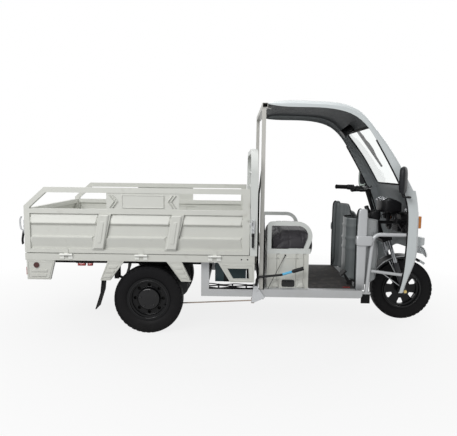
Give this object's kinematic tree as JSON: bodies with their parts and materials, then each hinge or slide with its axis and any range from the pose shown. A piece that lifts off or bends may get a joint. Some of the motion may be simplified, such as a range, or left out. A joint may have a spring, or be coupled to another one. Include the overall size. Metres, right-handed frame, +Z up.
{
  "type": "electric cargo tricycle",
  "caption": "Electric cargo tricycle with a half cab, windscreen and wiper, drop-side cargo bed with latches, telescopic fork and leaf-sprung driven rear axle.",
  "frame": {"origin": "on the ground under the middle of the outline", "axes": "+X forward, +Y to the vehicle's left, +Z up"},
  "size_m": [3.42, 1.178, 1.8452],
  "materials": {
    "alloy": "satin",
    "battery_teal": "satin",
    "bed_paint": "satin",
    "black_plastic": "matte",
    "brass_plate": "satin",
    "canopy_white": "gloss",
    "cast_grey": "cast",
    "dark_plastic": "textured",
    "frame_black": "satin",
    "glass": "clear",
    "lens_amber": "clear",
    "lens_clear": "clear",
    "lens_red": "clear",
    "lining_grey": "matte",
    "rim_black": "gloss",
    "seat_vinyl": "satin",
    "silver_paint": "satin",
    "soft_rubber": "matte",
    "steel": "brushed",
    "tyre_rubber": "matte"
  },
  "bodies": {
    "chassis": {"main_frame": "silver_paint", "bed_frame": "bed_paint", "cargo_floor": "bed_paint", "headboard": "bed_paint", "hinge_pins": "steel", "skirt_brackets": "bed_paint", "mud_flaps": "soft_rubber", "tail_lamps": "lens_red", "battery_pack": "battery_teal", "floor_pan": "silver_paint", "floor_mat": "soft_rubber", "seat_base": "bed_paint", "seat_side_frames": "bed_paint", "seat_cushion": "seat_vinyl", "cab_rear_frame": "silver_paint", "canopy_shell": "canopy_white", "canopy_lining": "lining_grey", "windscreen": "glass", "windscreen_seal": "soft_rubber", "front_shield": "canopy_white", "headlamp": "lens_clear", "turn_signals": "lens_amber", "leg_shield": "dark_plastic", "cab_front_frame": "silver_paint", "mirror_arms": "black_plastic", "instrument_binnacle": "black_plastic", "wiper_motor": "black_plastic", "held_cables": "soft_rubber", "leaf_springs": "frame_black"},
    "rear_suspension": {"rear_axle": "frame_black", "drive_motor": "cast_grey"},
    "rear_wheel_left": {"rear_tyre_left": "tyre_rubber", "rear_rim_left": "rim_black", "brake_drum_left": "cast_grey"},
    "rear_wheel_right": {"rear_tyre_right": "tyre_rubber", "rear_rim_right": "rim_black", "brake_drum_right": "cast_grey"},
    "steering": {"fork_crown": "frame_black", "handlebar": "frame_black", "grip_left": "soft_rubber", "switch_pods": "black_plastic"},
    "throttle": {"throttle_grip": "soft_rubber"},
    "fork_slider": {"fork_lowers": "alloy", "front_fender": "silver_paint", "front_axle": "brass_plate"},
    "front_wheel": {"front_tyre": "tyre_rubber", "front_rim": "rim_black"},
    "gate_left_body": {"gate_left": "bed_paint"},
    "gate_right_body": {"gate_right": "bed_paint"},
    "tailgate_body": {"tailgate": "bed_paint"},
    "latch_front_left_body": {"latch_front_left": "steel"},
    "latch_front_right_body": {"latch_front_right": "steel"},
    "latch_rear_left_body": {"latch_rear_left": "black_plastic"},
    "latch_rear_right_body": {"latch_rear_right": "black_plastic"},
    "mirror_left_body": {"mirror_left": "black_plastic"},
    "mirror_right_body": {"mirror_right": "black_plastic"},
    "wiper_body": {"wiper": "black_plastic"},
    "pedal_body": {"brake_pedal": "frame_black"},
    "parking_body": {"parking_lever": "frame_black"},
    "rod_body": {"brake_rod": "steel"}
  },
  "joints": [
    {"name": "rear_axle_travel", "type": "slide", "parent": "chassis", "child": "rear_suspension", "axis": [0, 0, 1], "range_m": [0, 0.05], "stiffness_N_per_m": 40000, "springref_m": -0.08, "deforming": ["leaf_springs"]},
    {"name": "rear_wheel_spin_left", "type": "hinge", "parent": "rear_suspension", "child": "rear_wheel_left", "pos_m": [-0.727, 0.455, 0.273], "axis": [0, 1, 0], "continuous": true},
    {"name": "rear_wheel_spin_right", "type": "hinge", "parent": "rear_suspension", "child": "rear_wheel_right", "pos_m": [-0.727, -0.455, 0.273], "axis": [0, 1, 0], "continuous": true},
    {"name": "steer", "type": "hinge", "parent": "chassis", "child": "steering", "pos_m": [1.21359, 0, 0.82575], "axis": [-0.3256, 0, 0.9455], "range_deg": [-35, 35]},
    {"name": "fork_travel", "type": "slide", "parent": "steering", "child": "fork_slider", "axis": [-0.3256, 0, 0.9455], "range_m": [0, 0.05], "stiffness_N_per_m": 20000, "springref_m": -0.08},
    {"name": "front_wheel_spin", "type": "hinge", "parent": "fork_slider", "child": "front_wheel", "pos_m": [1.443, 0, 0.267], "axis": [0, 1, 0], "continuous": true},
    {"name": "throttle_twist", "type": "hinge", "parent": "steering", "child": "throttle", "pos_m": [0.90299, -0.292, 1.15857], "axis": [0.7578, 0.6525, 0], "range_deg": [0, 60], "stiffness_Nm_per_rad": 0.2, "springref_deg": -17.19},
    {"name": "gate_left_drop", "type": "hinge", "parent": "chassis", "child": "gate_left_body", "pos_m": [-0.8, 0.58, 0.643], "axis": [-1, 0, 0], "range_deg": [0, 175]},
    {"name": "gate_right_drop", "type": "hinge", "parent": "chassis", "child": "gate_right_body", "pos_m": [-0.8, -0.58, 0.643], "axis": [1, 0, 0], "range_deg": [0, 175]},
    {"name": "tailgate_drop", "type": "hinge", "parent": "chassis", "child": "tailgate_body", "pos_m": [-1.674, 0, 0.643], "axis": [0, -1, 0], "range_deg": [0, 160]},
    {"name": "latch_front_left_turn", "type": "hinge", "parent": "chassis", "child": "latch_front_left_body", "pos_m": [0.0914, 0.576, 0.862], "axis": [0, -1, 0], "range_deg": [0, 80]},
    {"name": "latch_front_right_turn", "type": "hinge", "parent": "chassis", "child": "latch_front_right_body", "pos_m": [0.0914, -0.576, 0.862], "axis": [0, -1, 0], "range_deg": [0, 80]},
    {"name": "latch_rear_left_turn", "type": "hinge", "parent": "gate_left_body", "child": "latch_rear_left_body", "pos_m": [-1.67, 0.5525, 0.862], "axis": [1, 0, 0], "range_deg": [0, 80]},
    {"name": "latch_rear_right_turn", "type": "hinge", "parent": "gate_right_body", "child": "latch_rear_right_body", "pos_m": [-1.67, -0.5525, 0.862], "axis": [-1, 0, 0], "range_deg": [0, 80]},
    {"name": "mirror_left_turn", "type": "hinge", "parent": "chassis", "child": "mirror_left_body", "pos_m": [1.226, 0.532, 1.2], "axis": [0, 0, 1], "range_deg": [-20, 20]},
    {"name": "mirror_right_turn", "type": "hinge", "parent": "chassis", "child": "mirror_right_body", "pos_m": [1.226, -0.532, 1.2], "axis": [0, 0, 1], "range_deg": [-20, 20]},
    {"name": "wiper_sweep", "type": "hinge", "parent": "chassis", "child": "wiper_body", "pos_m": [0.98411, 0.11, 1.69151], "axis": [0.8007, 0, 0.599], "range_deg": [-40, 40]},
    {"name": "pedal_press", "type": "hinge", "parent": "chassis", "child": "pedal_body", "pos_m": [0.902, -0.32, 0.397], "axis": [0, 1, 0], "range_deg": [0, 20], "stiffness_Nm_per_rad": 8, "springref_deg": -22.92},
    {"name": "parking_pull", "type": "hinge", "parent": "chassis", "child": "parking_body", "pos_m": [0.124, -0.503, 0.38], "axis": [0, -1, 0], "range_deg": [0, 24]},
    {"name": "rod_pull", "type": "slide", "parent": "chassis", "child": "rod_body", "axis": [0.9949, 0, 0.1013], "range_m": [0, 0.0448]}
  ],
  "couplings": [
    {"joint": "rod_pull", "follows": "parking_pull", "m_per_rad": 0.10577}
  ]
}
